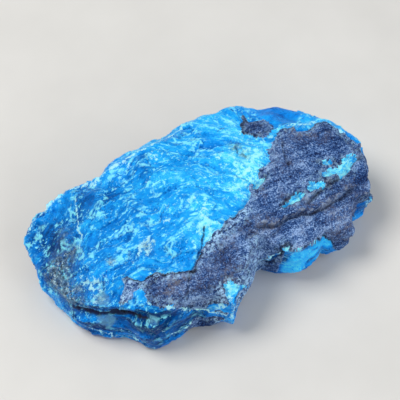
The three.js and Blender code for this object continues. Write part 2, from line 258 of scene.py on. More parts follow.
# Pale worn edges and streaks: half-width, strength and points
WORN_EDGES = [
    (1, 0.75, [(-49.3, -6.2, 6.5), (-46.2, -10.3, 3.7), (-41.7, -14, 2.9), (-37.2, -17, 1.9),
               (-33.6, -21, 1.6), (-31.6, -24.4, 1.6)]),
    (0.8, 0.7, [(-34.1, -15.1, 19.6), (-34.6, -16.5, 18.7), (-36.5, -16.6, 17.6), (-38, -15.7, 17)]),
    (1, 0.8, [(-30.3, -19.8, 19.1), (-27.9, -22.3, 19.3), (-25.3, -24.5, 19.5), (-22.5, -24.6, 16.6),
              (-20.2, -23.9, 14), (-16.6, -24.7, 11.4), (-14, -25.7, 10), (-11.8, -26.4, 8.8),
              (-9.4, -29.1, 8.8)]),
    (1.6, 0.7, [(-8.9, -28, 17.1), (-8.8, -28.9, 15.2), (-8.5, -29.7, 12.9), (-8.6, -29.4, 9.3)]),
    (1.2, 0.6, [(-27.2, -25.4, 6.4), (-21.9, -25, 4.3), (-18.7, -24.9, 6.6)]),
    (1, 0.6, [(-38, -16.6, 5.2), (-36.3, -18.4, 7.6), (-35.2, -20, 6.9), (-34.4, -22.1, 7.2)]),
    (0.8, 0.6, [(-32.1, -24.1, 11.7), (-30.2, -25.2, 11.9), (-28, -25.1, 9.3)]),
    (1.4, 0.8, [(46.5, 4, 21), (44.5, 9.5, 20.5), (41, 11, 22), (36, 10.3, 24), (32, 11.8, 24.5)]),
    (1, 0.74, [(-49.4, 21.7, 10.4), (-44.7, 24.4, 13.5), (-38.6, 24.1, 18), (-32.5, 24.4, 20.6),
               (-28.4, 22.2, 21.6), (-24.5, 21.3, 24.1), (-20.6, 21.9, 25.3)]),
    (1.8, 0.7, [(-29, 23.4, 21), (-26.6, 22.2, 22.4), (-24, 22.6, 24.2)]),
    (1, 0.78, [(-20.6, 21.9, 25.3), (-14.3, 22.9, 25.4), (-7.7, 23, 26.4), (-3.4, 25.2, 24.1),
               (4.2, 27.2, 23), (10.8, 27, 24)]),
    (0.6, 0.8, [(8.4, -18.2, 9), (9.7, -19.2, 11.6), (11.1, -20.1, 13.9), (12.2, -21.4, 17),
                (13.6, -21.6, 17.8)]),
]

# Pale scuffs: position, radius and strength
SCUFFS = [
    (-24.8, -6.8, 24, 3.2, 1), (-22.5, -5.6, 24.5, 2, 0.9), (-34.1, -4.8, 21.4, 2.2, 0.8),
    (-41.7, -5.8, 17.5, 2.4, 1), (-15.6, -1.8, 26.5, 2.4, 0.8), (-21.9, 0.3, 26, 2, 0.7),
    (-13.8, 13.8, 26, 2.2, 0.6), (-23.3, 15.2, 25, 2, 0.5), (-16, 20.5, 25.5, 3, 0.8),
    (-8.4, 18.8, 26.5, 2.6, 0.8), (-27, 21.5, 23, 3, 0.9), (-41.5, 20.2, 15, 3.6, 0.5),
    (-46.4, 15.9, 11.8, 2.4, 0.5), (-48.8, 19, 11, 2.2, 0.5), (-4.4, -5.1, 26, 2.6, 0.9),
    (-5.3, 0.3, 27, 3, 0.6), (-13.1, -5, 27, 2, 0.6), (9.6, 10.5, 25, 3, 0.8), (14, 3.5, 25, 3.2, 0.8),
    (11, -2, 25, 2, 0.7), (-41.5, -11.6, 16.7, 2.8, 0.9), (45.2, -15.2, 10.5, 2.2, 1),
    (-38.5, -7.5, 19, 3, 0.7), (-44, -2.5, 15.5, 3, 0.7), (-37, -1, 20, 2, 0.6), (-30, -8, 22, 2, 0.6),
    (-47.5, 8, 12, 2, 0.6), (-11.4, -27, 12.6, 2.6, 0.9),
]
SCUFF_GAIN = 0.8
SCUFF_LIMIT = 0.64
SCUFF_PITS = 0.5  # depth of the pits of a scuff

# Milky spots of the front wall: position, radius and strength
MILKY = [(-41.1, -14.2, 9, 2.8, 1), (-30.5, -22.9, 14, 1.9, 1), (-40.5, -11.9, 16.9, 2, 1)]
MILKY_EDGE = (0.3, 0.55)

# Earthy grime in the amber's pits: position, radius and strength
GRIME = [
    (-41, 13.3, 16.2, 2.4, 0.6), (-41.8, 6.3, 16, 3, 1), (-44.5, 6, 14.5, 3.4, 0.9), (-47, 5.3, 13, 3.6, 1),
    (-48.8, 3.4, 11.4, 3.6, 1), (-48.2, -1.6, 12.4, 3.2, 1), (-46, -4.5, 13.5, 2.6, 0.7),
    (-23.7, -6.4, 24.4, 1.6, 0.7), (-34, -4.6, 21.4, 1.1, 0.9), (-41, -11.8, 16.5, 2, 0.6),
    (14.2, 11.6, 25.8, 1.8, 0.9), (15.4, 8, 25.4, 1.6, 0.9), (-47.8, -3.5, 11.5, 3, 0.9),
    (-46.5, -6.5, 12.5, 2.6, 0.7), (-44, -9, 14, 2.2, 0.5),
]

# Brown patches of the crust: position, radius and strength
EARTH = [
    (33, 7.4, 25, 3, 0.9), (10, -15, 21, 3, 1), (32, -20, 14, 5, 0.9), (25, -12.4, 20.5, 4, 0.7),
    (-22, -20, 21, 6, 0.7), (-10, -21, 21, 6, 0.5), (22, 1, 25, 6, 0.5), (38, -17, 14, 4, 0.6),
]

# Tone of the crust, mostly its own, with painted shade low on the front wall: position, radius and how much
# brighter or darker it is there
CRUST_TONES = [
    (24, 15.5, 25, 6, -0.2), (34.9, -17.3, 16.3, 6, 0.08), (30.5, -22, 13, 5, 0.1),
    (-22.6, -21.3, 21.7, 7, -0.06), (-15, -26, 5, 7, -0.3), (4.3, -9.9, 24.7, 2.5, -0.2),
    (38, 2, 24, 6, -0.08), (23, 4, 25.5, 5, 0.1), (10, -15.2, 21, 3, 0.12), (22, -8, 24.5, 6, -0.06),
]

# Rounds of smoothing that find fine edges, rims and hollows, and the share of points below a marked edge
EDGE_ROUNDS = 3
RIM_ROUNDS = 12
HOLLOW_ROUNDS = 20
MARKED_PERCENT = 90

# Amber
AMBER_IOR = 1.54
AMBER_TRANSMISSION = 0.3
AMBER_SPECULAR = 0.12
# painted glow: the amber's surface gives off light in its own colour
AMBER_PAINTED_GLOW = 0.3
AMBER_DENSITY = 800
AMBER_BUMP = 0.7

# Crust's surface
CRUST_IOR = 1.5
CRUST_SPECULAR = 0.2
CRUST_ROUGHNESS = 0.85
CRUST_BUMP = 0.6

# Colours as a screen shows them, from 0 to 255: ramps from dark to light, and what is painted over them
AMBER_RAMP = [
    (0.0, (0, 46, 100)), (0.2, (2, 92, 172)), (0.4, (14, 136, 222)), (0.6, (32, 170, 244)),
    (0.8, (70, 208, 254)), (1.0, (136, 242, 252)),
]
CRUST_RAMP = [
    (0.0, (4, 24, 66)), (0.3, (23, 54, 108)), (0.52, (47, 84, 141)), (0.75, (88, 124, 178)),
    (1.0, (146, 176, 220)),
]
FLOOR_RAMP = [(0.3, (205, 203, 199)), (0.7, (211, 209, 205))]
WISP_COLOUR = (76, 220, 255)
PALE_COLOUR = (144, 246, 255)
AMBER_CRUMB_COLOUR = (170, 250, 242)
HOLLOW_SHADE_COLOUR = (2, 66, 150)
SCUFF_COLOUR = (180, 240, 242)
MILKY_COLOUR = (104, 158, 184)
GRIME_COLOUR = (86, 118, 142)
DARK_GRIME_COLOUR = (40, 54, 66)
LIGHT_GRIME_COLOUR = (160, 190, 196)
AMBER_SHADE_COLOUR = (36, 29, 34)
GLOSS_COLOUR = (90, 190, 255)
BODY_COLOUR = (10, 170, 250)
EARTH_COLOUR = (120, 118, 124)
SPARK_AND_HIGHLIGHT_COLOUR = (180, 194, 214)
CRUST_CRUMB_COLOUR = (164, 206, 240)
CRUST_SHADE_COLOUR = (12, 14, 24)

# Floor and lights, which have a name, place, diameter, power and colour each
FLOOR_HALF = 1500
FLOOR_ROUGHNESS = 0.7
LIGHTS = [
    ("key", (-350, 250, 750), 500, 6, (1, 0.98, 0.95)),
    ("fill", (600, -500, 600), 800, 3, (0.95, 0.97, 1)),
    ("front", (150, -750, 300), 600, 1.7, (0.95, 0.97, 1)),
]
LIGHT_TARGET = (0, 0, 10)
WORLD_COLOUR = (0.9, 0.95, 1, 1)
WORLD_STRENGTH = 0.35

# Camera: height and turn in degrees, distance, the point it looks at, and focal length in pixels of the frame
ELEVATION = 55
AZIMUTH = -28
DISTANCE = 450
TARGET = (0.2, 7, 14)
FOCAL_PIXELS = 1535
FRAME_PIXELS = 400
SENSOR = 36
CLIP_START = 10

# Numbers of the Mix node's colour sockets
MIX_FIRST = 6
MIX_SECOND = 7
MIX_RESULT = 2


def smoothstep(value, low, high):
    share = np.clip((value - low) / (high - low), 0, 1)
    return share * share * (3 - 2 * share)


def soft_line(distance, half_width):
    """From 0 to 1, how near each point is to a soft line."""
    return np.exp(-(distance / half_width) ** 2)


def noise_at(points, wavelength, offset):
    """Smooth noise from about -1 to 1."""
    return np.array([noise.noise(p) for p in (points / wavelength + offset).tolist()])


def waves(name, points):
    """Sum of the layers of smooth noise of that name."""
    return sum(height * noise_at(points, wavelength, offset) for height, wavelength, offset in WAVES[name])


def smooth_ring(points, steps=6):
    """A closed smooth curve through points of a plane."""
    p = np.array(points, float)
    before, after, beyond = np.roll(p, 1, 0), np.roll(p, -1, 0), np.roll(p, -2, 0)
    t = np.linspace(0, 1, steps, endpoint=False)[None, :, None]
    p, before, after, beyond = (q[:, None, :] for q in (p, before, after, beyond))
    curve = p + t * (after - before) / 2
    curve = curve + t ** 2 * (before - 2.5 * p + 2 * after - beyond / 2)
    curve = curve + t ** 3 * (1.5 * (p - after) + (beyond - before) / 2)
    return curve.reshape(-1, 2)


def line_distance(line, points):
    """Distance of points to a line of points, both in plan or both in space."""
    line = np.array(line, float)
    nearest = np.full(len(points), np.inf)
    for a, b in zip(line[:-1], line[1:]):
        along = np.clip((points - a) @ (b - a) / ((b - a) @ (b - a)), 0, 1)
        nearest = np.minimum(nearest, np.linalg.norm(points - a - along[:, None] * (b - a), axis=1))
    return nearest


def ring_distance(ring_points, flat):
    """Signed distance of points of a plane to a closed smooth ring, positive inside it."""
    ring = smooth_ring(ring_points)
    inside = np.zeros(len(flat), bool)
    for a, b in zip(ring, np.roll(ring, -1, 0)):
        if a[1] != b[1]:
            level = (a[1] > flat[:, 1]) != (b[1] > flat[:, 1])
            inside ^= level & (flat[:, 0] < a[0] + (flat[:, 1] - a[1]) / (b[1] - a[1]) * (b[0] - a[0]))
    distance = line_distance(np.vstack([ring, ring[:1]]), flat)
    return np.where(inside, distance, -distance)


def spots(rows, points):
    """Sum of soft round spots, each row giving a position, a radius and a strength."""
    total = np.zeros(len(points))
    for x, y, z, radius, strength in rows:
        total += strength * np.exp(-((points - (x, y, z)) ** 2).sum(1) / radius ** 2)
    return total


def array_of(items, name, width, kind=float):
    """One value of every item of a mesh, in rows."""
    values = np.empty(len(items) * width, kind)
    items.foreach_get(name, values)
    return values.reshape(-1, width)


class Skin:
    """The fine mesh of the nugget as arrays in millimetres."""

    def __init__(self, node):
        source = bpy.data.objects.new("source", node.data.copy())
        bpy.context.scene.collection.objects.link(source)
        remesh = source.modifiers.new("fine", "REMESH")
        remesh.mode = "VOXEL"
        remesh.voxel_size = VOXEL * MM
        graph = bpy.context.evaluated_depsgraph_get()
        self.mesh = bpy.data.meshes.new_from_object(source.evaluated_get(graph))
        bpy.data.objects.remove(source)
        self.mesh.name = "amber_nugget"
        self.mesh.materials.clear()
        self.read()

    def read(self):
        self.points = array_of(self.mesh.vertices, "co", 3) / MM
        self.normals = array_of(self.mesh.vertex_normals, "vector", 3)
        self.edges = array_of(self.mesh.edges, "vertices", 2, int)
        self.xy = self.points[:, :2]
        self.xz = self.points[:, [0, 2]]

    def write(self, points):
        points[:, 2] = np.maximum(points[:, 2], 0)
        self.mesh.vertices.foreach_set("co", (points * MM).ravel())
        self.mesh.update()
        self.read()

    def spread(self, values, rounds):
        """Averages values with those of the neighbouring points."""
        ends = np.concatenate([self.edges, self.edges[:, ::-1]])
        degree = np.bincount(ends[:, 0], minlength=len(values))
        for _ in range(rounds):
            values = np.bincount(ends[:, 0], values[ends[:, 1]], len(values)) / degree
        return values

    def bulge(self, rounds, kind):
        """How far each point stands out of its neighbourhood, 1 being a marked edge for its kind."""
        mean = np.stack([self.spread(self.points[:, axis], rounds) for axis in range(3)], 1)
        out = np.einsum("ij,ij->i", self.points - mean, self.normals)
        for same in (kind, ~kind):
            out[same] /= np.percentile(np.abs(out[same]), MARKED_PERCENT)
        return out

    def attribute(self, name, values):
        kind, field = ("FLOAT", "value") if values.ndim == 1 else ("FLOAT_VECTOR", "vector")
        layer = self.mesh.attributes.new(name, kind, "POINT")
        layer.data.foreach_set(field, values.astype(np.float32).ravel())


def flow_of(points):
    """Coordinates that run with the grain of the amber, which bends round near the crust."""
    x, y, z = points.T
    bend = np.minimum(BEND_RATE * np.maximum(x - BEND_START, 0) ** 2, BEND_LIMIT)
    return np.stack([GRAIN_STRETCH * x, y + bend + waves("amber flow", points), z], 1)


def front_wall(skin):
    """From 0 to 1, how far each point belongs to the wall of the front side."""
    return smoothstep(skin.normals[:, 2], *WALL_NORMAL) * smoothstep(skin.points[:, 1], *WALL_SIDE)


def crust_cover(skin):
    """Millimetres inside the crust's ragged edge, negative on bare amber."""
    x, y, z = skin.points.T
    upright = skin.normals[:, 2]
    ragged = waves("crust edge", skin.points)
    cover = np.maximum(ring_distance(CRUST_OUTLINE, skin.xy), ring_distance(CRUST_ISLAND, skin.xy)) + ragged
    wander = waves("fleck", skin.points)
    for at_x, at_y, half_length, half_width, slant in FLECKS:
        across = (y - at_y) - slant * (x - at_x) + wander
        away = np.hypot((x - at_x) / half_length, across / half_width) - 1
        cover = np.minimum(cover, FLECK_EDGE * away + FLECK_RAGGED * ragged)
    above = z - np.interp(x, *np.transpose(CRUST_FOOT)) + ragged
    # the shaded wall patch turns the wall to dark crust as a painted shade
    patch = ring_distance(SHADED_WALL_PATCH, skin.xz) + ragged
    cover = np.where(front_wall(skin) > 0.5, np.maximum(np.minimum(cover, above), patch), cover)
    for half_width, line in BARE_EDGES:
        cover = np.minimum(cover, line_distance(line, skin.points) - half_width + ragged)
    far = smoothstep(y, *FAR_SIDE) * smoothstep(upright, *FAR_NORMAL)
    hidden = np.maximum(far, smoothstep(upright, *UNDERSIDE_NORMAL))
    patches = waves("hidden crust", skin.points) - HIDDEN_CRUST_LOSS + ragged
    return cover + hidden * (patches - cover)


def ledge_sides(skin, line, fade, ragged=0.0):
    """Distance behind a ledge's line, negative in front of it, and how far the ledge is there at all."""
    x, y = skin.xy.T
    along, across = np.transpose(line)
    present = smoothstep(x, along[0] - fade, along[0]) * (1 - smoothstep(x, along[-1], along[-1] + fade))
    return y - np.interp(x, along, across) + ragged, present


def ledge_lift(skin):
    """Height change that makes soft ledges crisp, and how near each point is to a foot and a lip, for the
    painted shadow and highlight lines there.
    """
    ragged = waves("ledge", skin.points)
    lift, foot_shadows, lip_highlights = np.zeros((3, len(skin.points)))
    for drop, line in SOFT_LEDGES:
        away, present = ledge_sides(skin, line, SOFT_FADE)
        lift += drop * present * (1 - smoothstep(away, -SOFT_SLOPE, SOFT_SLOPE))
    for drop, lip, line in LEDGES:
        away, present = ledge_sides(skin, line, CRISP_FADE, ragged)
        lift -= drop * present * (1 - smoothstep(away, -CRISP_SLOPE, CRISP_SLOPE))
        behind = np.exp(-np.maximum(away, 0) / LIP_FALL)
        in_front = np.exp(np.minimum(away, 0) / FOOT_FALL)
        lift += lip * present * np.where(away > 0, behind, -in_front)
        marked = present * min(drop, 1)
        foot_shadows = np.maximum(foot_shadows, marked * soft_line(away - FOOT_PLACE, LEDGE_LINE))
        lip_highlights = np.maximum(lip_highlights, marked * soft_line(away - LIP_PLACE, LEDGE_LINE))
    return lift, foot_shadows, lip_highlights


def flakes_of(flow, size):
    """Irregular flakes along the grain: each one's level, tilted height, and the way to its edge."""
    offsets = [FLAKE_WARP_OFFSET + axis for axis in range(3)]
    wander = np.stack([noise_at(flow, FLAKE_WARP_LENGTH * size, offset) for offset in offsets], 1)
    warped = flow / size + FLAKE_WARP * wander
    found = [noise.voronoi(p) for p in warped.tolist()]
    centres = np.array([places[0] for _, places in found])
    to_edge = np.array([distances[1] - distances[0] for distances, _ in found]) * size
    level = np.sin(centres @ HASH) * HASH_GAIN % 1 - 0.5
    turn = 2 * math.pi * (level * TURN_GAIN % 1)
    away = warped - centres
    tilt = np.cos(turn) * away[:, 0] + np.sin(turn) * away[:, 1]
    return level, FLAKE_LEVEL * level + FLAKE_TILT * tilt, to_edge


def broken_amber(skin, flow, scuff):
    """Height and tone of the broken amber, and the way to the nearest seam between two flakes."""
    height = waves("amber swell", flow) + waves("amber grain", skin.points)
    tone = np.zeros(len(flow))
    seam = np.full(len(flow), np.inf)
    for size, step, contrast in FLAKES:
        level, tilted, to_edge = flakes_of(flow, size)
        height += step * tilted
        tone += contrast * level
        seam = np.minimum(seam, to_edge)
    height += front_wall(skin) * waves("wall beds", skin.points * WALL_BED_STRETCH)
    height -= SCUFF_PITS * scuff * np.maximum(waves("scuff pits", skin.points), 0)
    return height, tone, seam


def crust_grain(points):
    """Height of the crust's thin beds, each falling away from its edge, and of its grain."""
    x, y = points[:, :2].T
    level = (y - BED_SLOPE * x + waves("crust beds", points)) / BED_SPACING
    beds = (0.5 - level % 1) * smoothstep(waves("crust beds present", points), *BEDS_ONSET)
    return BED_STEP * beds + waves("crust grain", points)


def crevice_shade(points):
    """From 0 to 1, how deep each point lies in the crevice's painted shade."""
    bearings, heights, halves = np.transpose(CREVICE)
    bearing = np.degrees(np.arctan2(points[:, 1], points[:, 0])) % 360
    away = np.abs(points[:, 2] - np.interp(bearing, bearings, heights)) + waves("crevice", points)
    present = (bearing > bearings[0]) & (bearing < bearings[-1])
    return present * smoothstep(away / np.interp(bearing, bearings, halves), *CREVICE_EDGE)


def contact_gap(skin, cover):
    """From 0 to 1, how far each point lies in the gap between the amber and the crust, which is dug in and
    darkened as painted shade.
    """
    wide = smoothstep(np.min([line_distance(line, skin.xy) for line in OPEN_CONTACTS], 0), *GAP_REACH)
    present = np.maximum(wide, GAP_ELSEWHERE * smoothstep(waves("gap present", skin.points), *GAP_ONSET))
    return present * soft_line(cover - GAP_INSET, GAP_HALF_WIDTH)


def clear_share(skin):
    """From 0 to 1, how far each point belongs to a smooth clear face."""
    patch = spots(CLEAR_PATCHES, skin.points) + waves("clear patch", skin.points)
    clear = smoothstep(patch, *CLEAR_PATCH_EDGE)
    for ring in CLEAR_FACES:
        face = front_wall(skin) * smoothstep(ring_distance(ring, skin.xz), *CLEAR_FACE_EDGE)
        clear = np.maximum(clear, face)
    return clear


def cracks_of(skin):
    """Depth of the cracks at each point, and how dark they are there."""
    depths, shade = np.zeros((2, len(skin.points)))
    wander = waves("crack", skin.points)
    for half_width, depth, line in CRACKS:
        crack = soft_line(line_distance(line, skin.xy) + wander, half_width)
        depths += depth * crack
        shade = np.maximum(shade, crack * min(depth + CRACK_SHADE, 1))
    return depths, shade


def scuffs_of(skin, upward, scuff):
    """How worn and pale each point is, with the worn edges and the ridge of the left end."""
    for half_width, strength, line in WORN_EDGES:
        scuff = np.maximum(scuff, strength * soft_line(line_distance(line, skin.points), half_width))
    ridge = soft_line(line_distance(RIDGE, skin.xy) + waves("ridge", skin.points), RIDGE_HALF_WIDTH)
    return np.maximum(scuff, RIDGE_SCUFF * ridge * upward)


def amber_tone(skin, flake_tone, clear, wall, upward):
    """How bright or dark the amber is at each point: its own tone, with painted shade on the front wall and
    the left end and painted light on the wall's clear faces.
    """
    bands = waves("wall bands", skin.points * WALL_BAND_STRETCH)
    tone = flake_tone * (1 - clear) + spots(TONES, skin.points)
    # painted light on the front wall's clear faces, painted shade on the rest of the wall with its own bands
    tone += wall * (CLEAR_WALL_TONE * clear + (WALL_TONE + bands) * (1 - clear))
    inside = ring_distance(CRUST_OUTLINE, skin.xy) > FLECK_INSET
    return tone + FLECK_TONE * inside * upward * (1 - clear)


def build_skin(node):
    skin = Skin(node)
    points, normals = skin.points, skin.normals
    upward = smoothstep(normals[:, 2], *UPWARD_NORMAL)
    wall = front_wall(skin)
    flow = flow_of(points)
    clear = clear_share(skin)
    cover = crust_cover(skin)
    crust = smoothstep(cover, -CRUST_CRISP_EDGE, CRUST_CRISP_EDGE)

    soft = smoothstep(ring_distance(CRUST_OUTLINE, skin.xy), -CRUST_SOFT_EDGE, CRUST_SOFT_EDGE)
    ledges, foot_shadows, lip_highlights = ledge_lift(skin)
    lift = CRUST_STEP * CRUST_THICKNESS * (crust - soft) + ledges * crust
    lift = np.clip(lift, *LIFT_RANGE) * upward

    scuff = np.minimum(SCUFF_GAIN * spots(SCUFFS, points), SCUFF_LIMIT)
    broken, flake_tone, seam = broken_amber(skin, flow, scuff)
    cracks, crack_shade = cracks_of(skin)
    gap = contact_gap(skin, cover)
    relief = (1 - crust) * (1 - CLEAR_RELIEF_LOSS * clear) * broken + crust * crust_grain(points)
    relief -= cracks * upward + GAP_DEPTH * gap
    # painted shade at the ledges' feet, in the gap between amber and crust and in the crevice, with the
    # cracks' dark
    shade = np.max([FOOT_SHADE * foot_shadows * crust, crack_shade * upward, gap, crevice_shade(points)], 0)

    marks = {
        "cover": cover,
        "flow": flow,
        "clear": np.maximum(clear, CLEAR_WALL * wall),
        "seam": seam,
        "tone": amber_tone(skin, flake_tone, clear, wall, upward),
        "scuff": scuffs_of(skin, upward, scuff),
        "milky": smoothstep(spots(MILKY, points) + waves("milky", points), *MILKY_EDGE),
        "grime": spots(GRIME, points),
        "earth": spots(EARTH, points),
        "crust_tone": spots(CRUST_TONES, points),
        "lip": lip_highlights,
        "shade": shade,
    }

    fade = smoothstep(points[:, 2], 0, RESTING_BAND)
    moved = points + normals * (relief * fade)[:, None]
    moved[:, 2] += lift * fade
    skin.write(moved)

    marks["edge"] = skin.bulge(EDGE_ROUNDS, crust > 0.5)
    marks["rim"] = skin.bulge(RIM_ROUNDS, crust > 0.5)
    marks["hollow"] = -skin.bulge(HOLLOW_ROUNDS, crust > 0.5)
    crumbled = [soft_line(line_distance(line, skin.xy), half_width) for half_width, line in CRUMBLED]
    marks["crumble"] = np.max(crumbled, 0)
    for name, values in marks.items():
        skin.attribute(name, values)

    corners = array_of(skin.mesh.loops, "vertex_index", 1, int).reshape(-1, 4)
    covered = crust[corners].mean(1) > 0.5
    for material in (amber_material(), crust_material()):
        skin.mesh.materials.append(material)
    skin.mesh.polygons.foreach_set("material_index", covered.astype(np.int32))
    skin.mesh.polygons.foreach_set("use_smooth", ~covered)
    return skin.mesh


class Value:
    """A node socket that carries a number, with plain arithmetic."""

    def __init__(self, tree, socket):
        self.tree = tree
        self.socket = socket

    def __add__(self, other):
        return self.tree.math("ADD", self, other)

    def __sub__(self, other):
        return self.tree.math("SUBTRACT", self, other)

    def __mul__(self, other):
        return self.tree.math("MULTIPLY", self, other)

    def most(self, other):
        return self.tree.math("MAXIMUM", self, other)

    def away_from(self, middle):
        return self.tree.math("ABSOLUTE", self - middle)

    def step(self, low, high):
        """From 0 at the first bound to 1 at the second."""
        inputs = {"Value": self, "From Min": low, "From Max": high}
        node = self.tree.node("ShaderNodeMapRange", inputs, interpolation_type="SMOOTHSTEP")
        return Value(self.tree, node.outputs[0])


class Tree:
    """A material's nodes, with one short method for each kind that the materials use."""

    def __init__(self, name):
        self.material = bpy.data.materials.new(name)
        self.material.use_nodes = True
        self.tree = self.material.node_tree
        self.shader = self.tree.nodes["Principled BSDF"]

    def put(self, socket, value):
        if isinstance(value, Value):
            value = value.socket
        if isinstance(value, bpy.types.NodeSocket):
            self.tree.links.new(value, socket)
        else:
            socket.default_value = value

    def node(self, kind, inputs, **settings):
        node = self.tree.nodes.new(kind)
        for key, value in settings.items():
            setattr(node, key, value)
        for key, value in inputs.items():
            self.put(node.inputs[key], value)
        return node

    def value(self, name):
        """A number stored on the mesh."""
        return Value(self, self.node("ShaderNodeAttribute", {}, attribute_name=name).outputs["Fac"])

    def vector(self, name):
        return self.node("ShaderNodeAttribute", {}, attribute_name=name).outputs["Vector"]

    def object_place(self):
        return self.node("ShaderNodeTexCoord", {}).outputs["Object"]

    def scaled(self, vector, scale, offset=(0, 0, 0)):
        inputs = {"Vector": vector, "Scale": scale, "Location": offset}
        return self.node("ShaderNodeMapping", inputs).outputs[0]

    def shifted(self, vector, offset):
        return self.scaled(vector, (1, 1, 1), offset)

    def noise(self, vector, scale, detail=3, roughness=0.55, distortion=0.0):
        inputs = {"Vector": vector, "Scale": scale, "Detail": detail, "Roughness": roughness}
        inputs["Distortion"] = distortion
        return Value(self, self.node("ShaderNodeTexNoise", inputs).outputs["Fac"])

    def math(self, operation, a, b=0.0):
        return Value(self, self.node("ShaderNodeMath", {0: a, 1: b}, operation=operation).outputs[0])

    def painted(self, colour, tint, factor):
        """A colour with a screen colour painted over it by a factor."""
        node = self.node("ShaderNodeMix", {}, data_type="RGBA")
        self.put(node.inputs["Factor"], factor)
        self.put(node.inputs[MIX_FIRST], colour)
        self.put(node.inputs[MIX_SECOND], rgb(*tint))
        return node.outputs[MIX_RESULT]

    def ramp(self, factor, stops):
        """A colour from a row of places and screen colours."""
        node = self.node("ShaderNodeValToRGB", {"Fac": factor})
        elements = node.color_ramp.elements
        while len(elements) < len(stops):
            elements.new(0.5)
        for element, (place, colour) in zip(elements, stops):
            element.position = place
            element.color = rgb(*colour)
        return node.outputs["Color"]

    def bump(self, height, strength, distance):
        inputs = {"Height": height, "Strength": strength, "Distance": distance * MM}
        return self.node("ShaderNodeBump", inputs).outputs["Normal"]

    def finish(self, **inputs):
        for key, value in inputs.items():
            self.put(self.shader.inputs[key.replace("_", " ")], value)
        return self.material


def rgb(red, green, blue):
    """A colour from 0 to 255 as shown on a screen, in Blender's linear values."""
    shown = [v / 255 for v in (red, green, blue)]
    return tuple(v / 12.92 if v <= 0.04045 else ((v + 0.055) / 1.055) ** 2.4 for v in shown) + (1.0,)


def amber_material():
    """Broken amber. A noise counts its scale per millimetre along the flow and per metre at the place."""
    m = Tree("amber")
    place = m.object_place()
    flow = m.vector("flow")
    plain = m.math("SUBTRACT", 1.0, m.value("clear"))

    # Body
    broad = m.noise(flow, 0.14, 4, distortion=0.8) - 0.5
    streaks = m.noise(flow, 0.5, 6, 0.65) - 0.5
    fine = m.noise(flow, 1.3, 5, 0.7) - 0.5
    grit = (m.noise(place, 2400, 3, 0.6) - 0.5) * m.noise(flow, 0.3, 3).step(0.44, 0.6)
    glow = m.value("tone")
    tone = glow * 0.9 + broad * 0.45 + streaks * 0.7 + fine * 0.35 + grit + 0.5
    colour = m.ramp(tone, AMBER_RAMP)

    # Wisps, threads, dashes, pale edges that are partly chipped and partly painted highlight, specks and
    # crumbs
    clumps = m.noise(flow, 0.75, 8, 0.75) + glow * 0.16
    patchy = m.noise(flow, 0.22, 3).step(0.36, 0.52)
    wisps = clumps.step(0.54, 0.61) * patchy
    cores = clumps.step(0.61, 0.65) * patchy
    threads = m.noise(flow, 0.3, 3, distortion=0.8).away_from(0.5).step(0.02, 0.0)
    threads = threads * m.noise(flow, 0.45, 4).step(0.5, 0.6)
    dashes = m.noise(m.scaled(flow, (0.6, 1.5, 1.5)), 0.9, 4, 0.62).step(0.58, 0.64)
    dashes = dashes * m.noise(flow, 0.2, 3).step(0.44, 0.58)
    # pale edges: partly chipped, partly painted highlight on raised edges, rims and flake seams
    edge = m.value("edge")
    seams = m.value("seam").step(0.55, 0.1) * m.noise(flow, 0.28, 4, 0.6).step(0.5, 0.58)
    edges = edge.step(0.9, 2.0).most(m.value("rim").step(1.4, 2.8) * 0.8).most(seams)
    edges = edges * m.noise(place, 700, 4).step(0.4, 0.5)
    specks = m.noise(place, 1000, 3, 0.65).step(0.6, 0.66) * m.noise(flow, 0.35, 3).step(0.46, 0.58)
    colour = m.painted(colour, WISP_COLOUR, wisps.most(threads) * plain * 0.45)
    pale = cores.most(dashes).most(edges * 0.8).most(specks * 0.8) * plain
    colour = m.painted(colour, PALE_COLOUR, pale * 0.9)
    crumbs = (m.noise(place, 640, 7, 0.78) + glow * 0.45).step(0.59, 0.66)
    colour = m.painted(colour, AMBER_CRUMB_COLOUR, crumbs * plain * 0.8)

    # Painted shade in hollows and along inner edges, scuffs and milky spots
    # painted shade: a deeper blue in hollows and along inner edges
    deep = (edge * -1.0).step(0.4, 1.6).most(m.value("hollow").step(0.4, 2.0)) * 0.5
    colour = m.painted(colour, HOLLOW_SHADE_COLOUR, deep * plain)
    scuffed = (m.value("scuff") * 0.4 + m.noise(place, 640, 6, 0.75)).step(0.74, 0.82)
    colour = m.painted(colour, SCUFF_COLOUR, scuffed * 0.85)
    cloudy = m.value("milky") * m.noise(place, 300, 4, 0.6).step(0.25, 0.65)
    colour = m.painted(colour, MILKY_COLOUR, cloudy * 0.75)

    # Grime, and painted shade in gaps, cracks and the crevice
    grime = m.value("grime")
    film = grime * m.noise(place, 420, 4, 0.6).step(0.36, 0.6)
    colour = m.painted(colour, GRIME_COLOUR, film * 0.7)
    dark = grime * m.noise(place, 900, 7, 0.8).step(0.48, 0.56)
    colour = m.painted(colour, DARK_GRIME_COLOUR, dark * 0.75)
    light = grime * m.noise(m.shifted(place, (3, 1, 2)), 900, 7, 0.8).step(0.53, 0.6)
    colour = m.painted(colour, LIGHT_GRIME_COLOUR, light * 0.75)
    # painted shade from the shade mask
    colour = m.painted(colour, AMBER_SHADE_COLOUR, m.value("shade") * 0.95)

    material = m.finish(
        Base_Color=colour,
        Roughness=m.noise(place, 500, 3) * 0.5 + 0.1,
        Normal=m.bump(m.noise(flow, 1.6, 6, 0.65, 0.8), 0.45, AMBER_BUMP),
        IOR=AMBER_IOR,
        Transmission_Weight=AMBER_TRANSMISSION,
        Specular_IOR_Level=AMBER_SPECULAR,
        Specular_Tint=rgb(*GLOSS_COLOUR),
        # painted glow: the amber's colour given off as light
        Emission_Color=colour,
        Emission_Strength=AMBER_PAINTED_GLOW,
    )
    inputs = {"Color": rgb(*BODY_COLOUR), "Density": AMBER_DENSITY}
    absorption = m.node("ShaderNodeVolumeAbsorption", inputs)
    m.put(m.tree.nodes["Material Output"].inputs["Volume"], absorption.outputs[0])
    return material


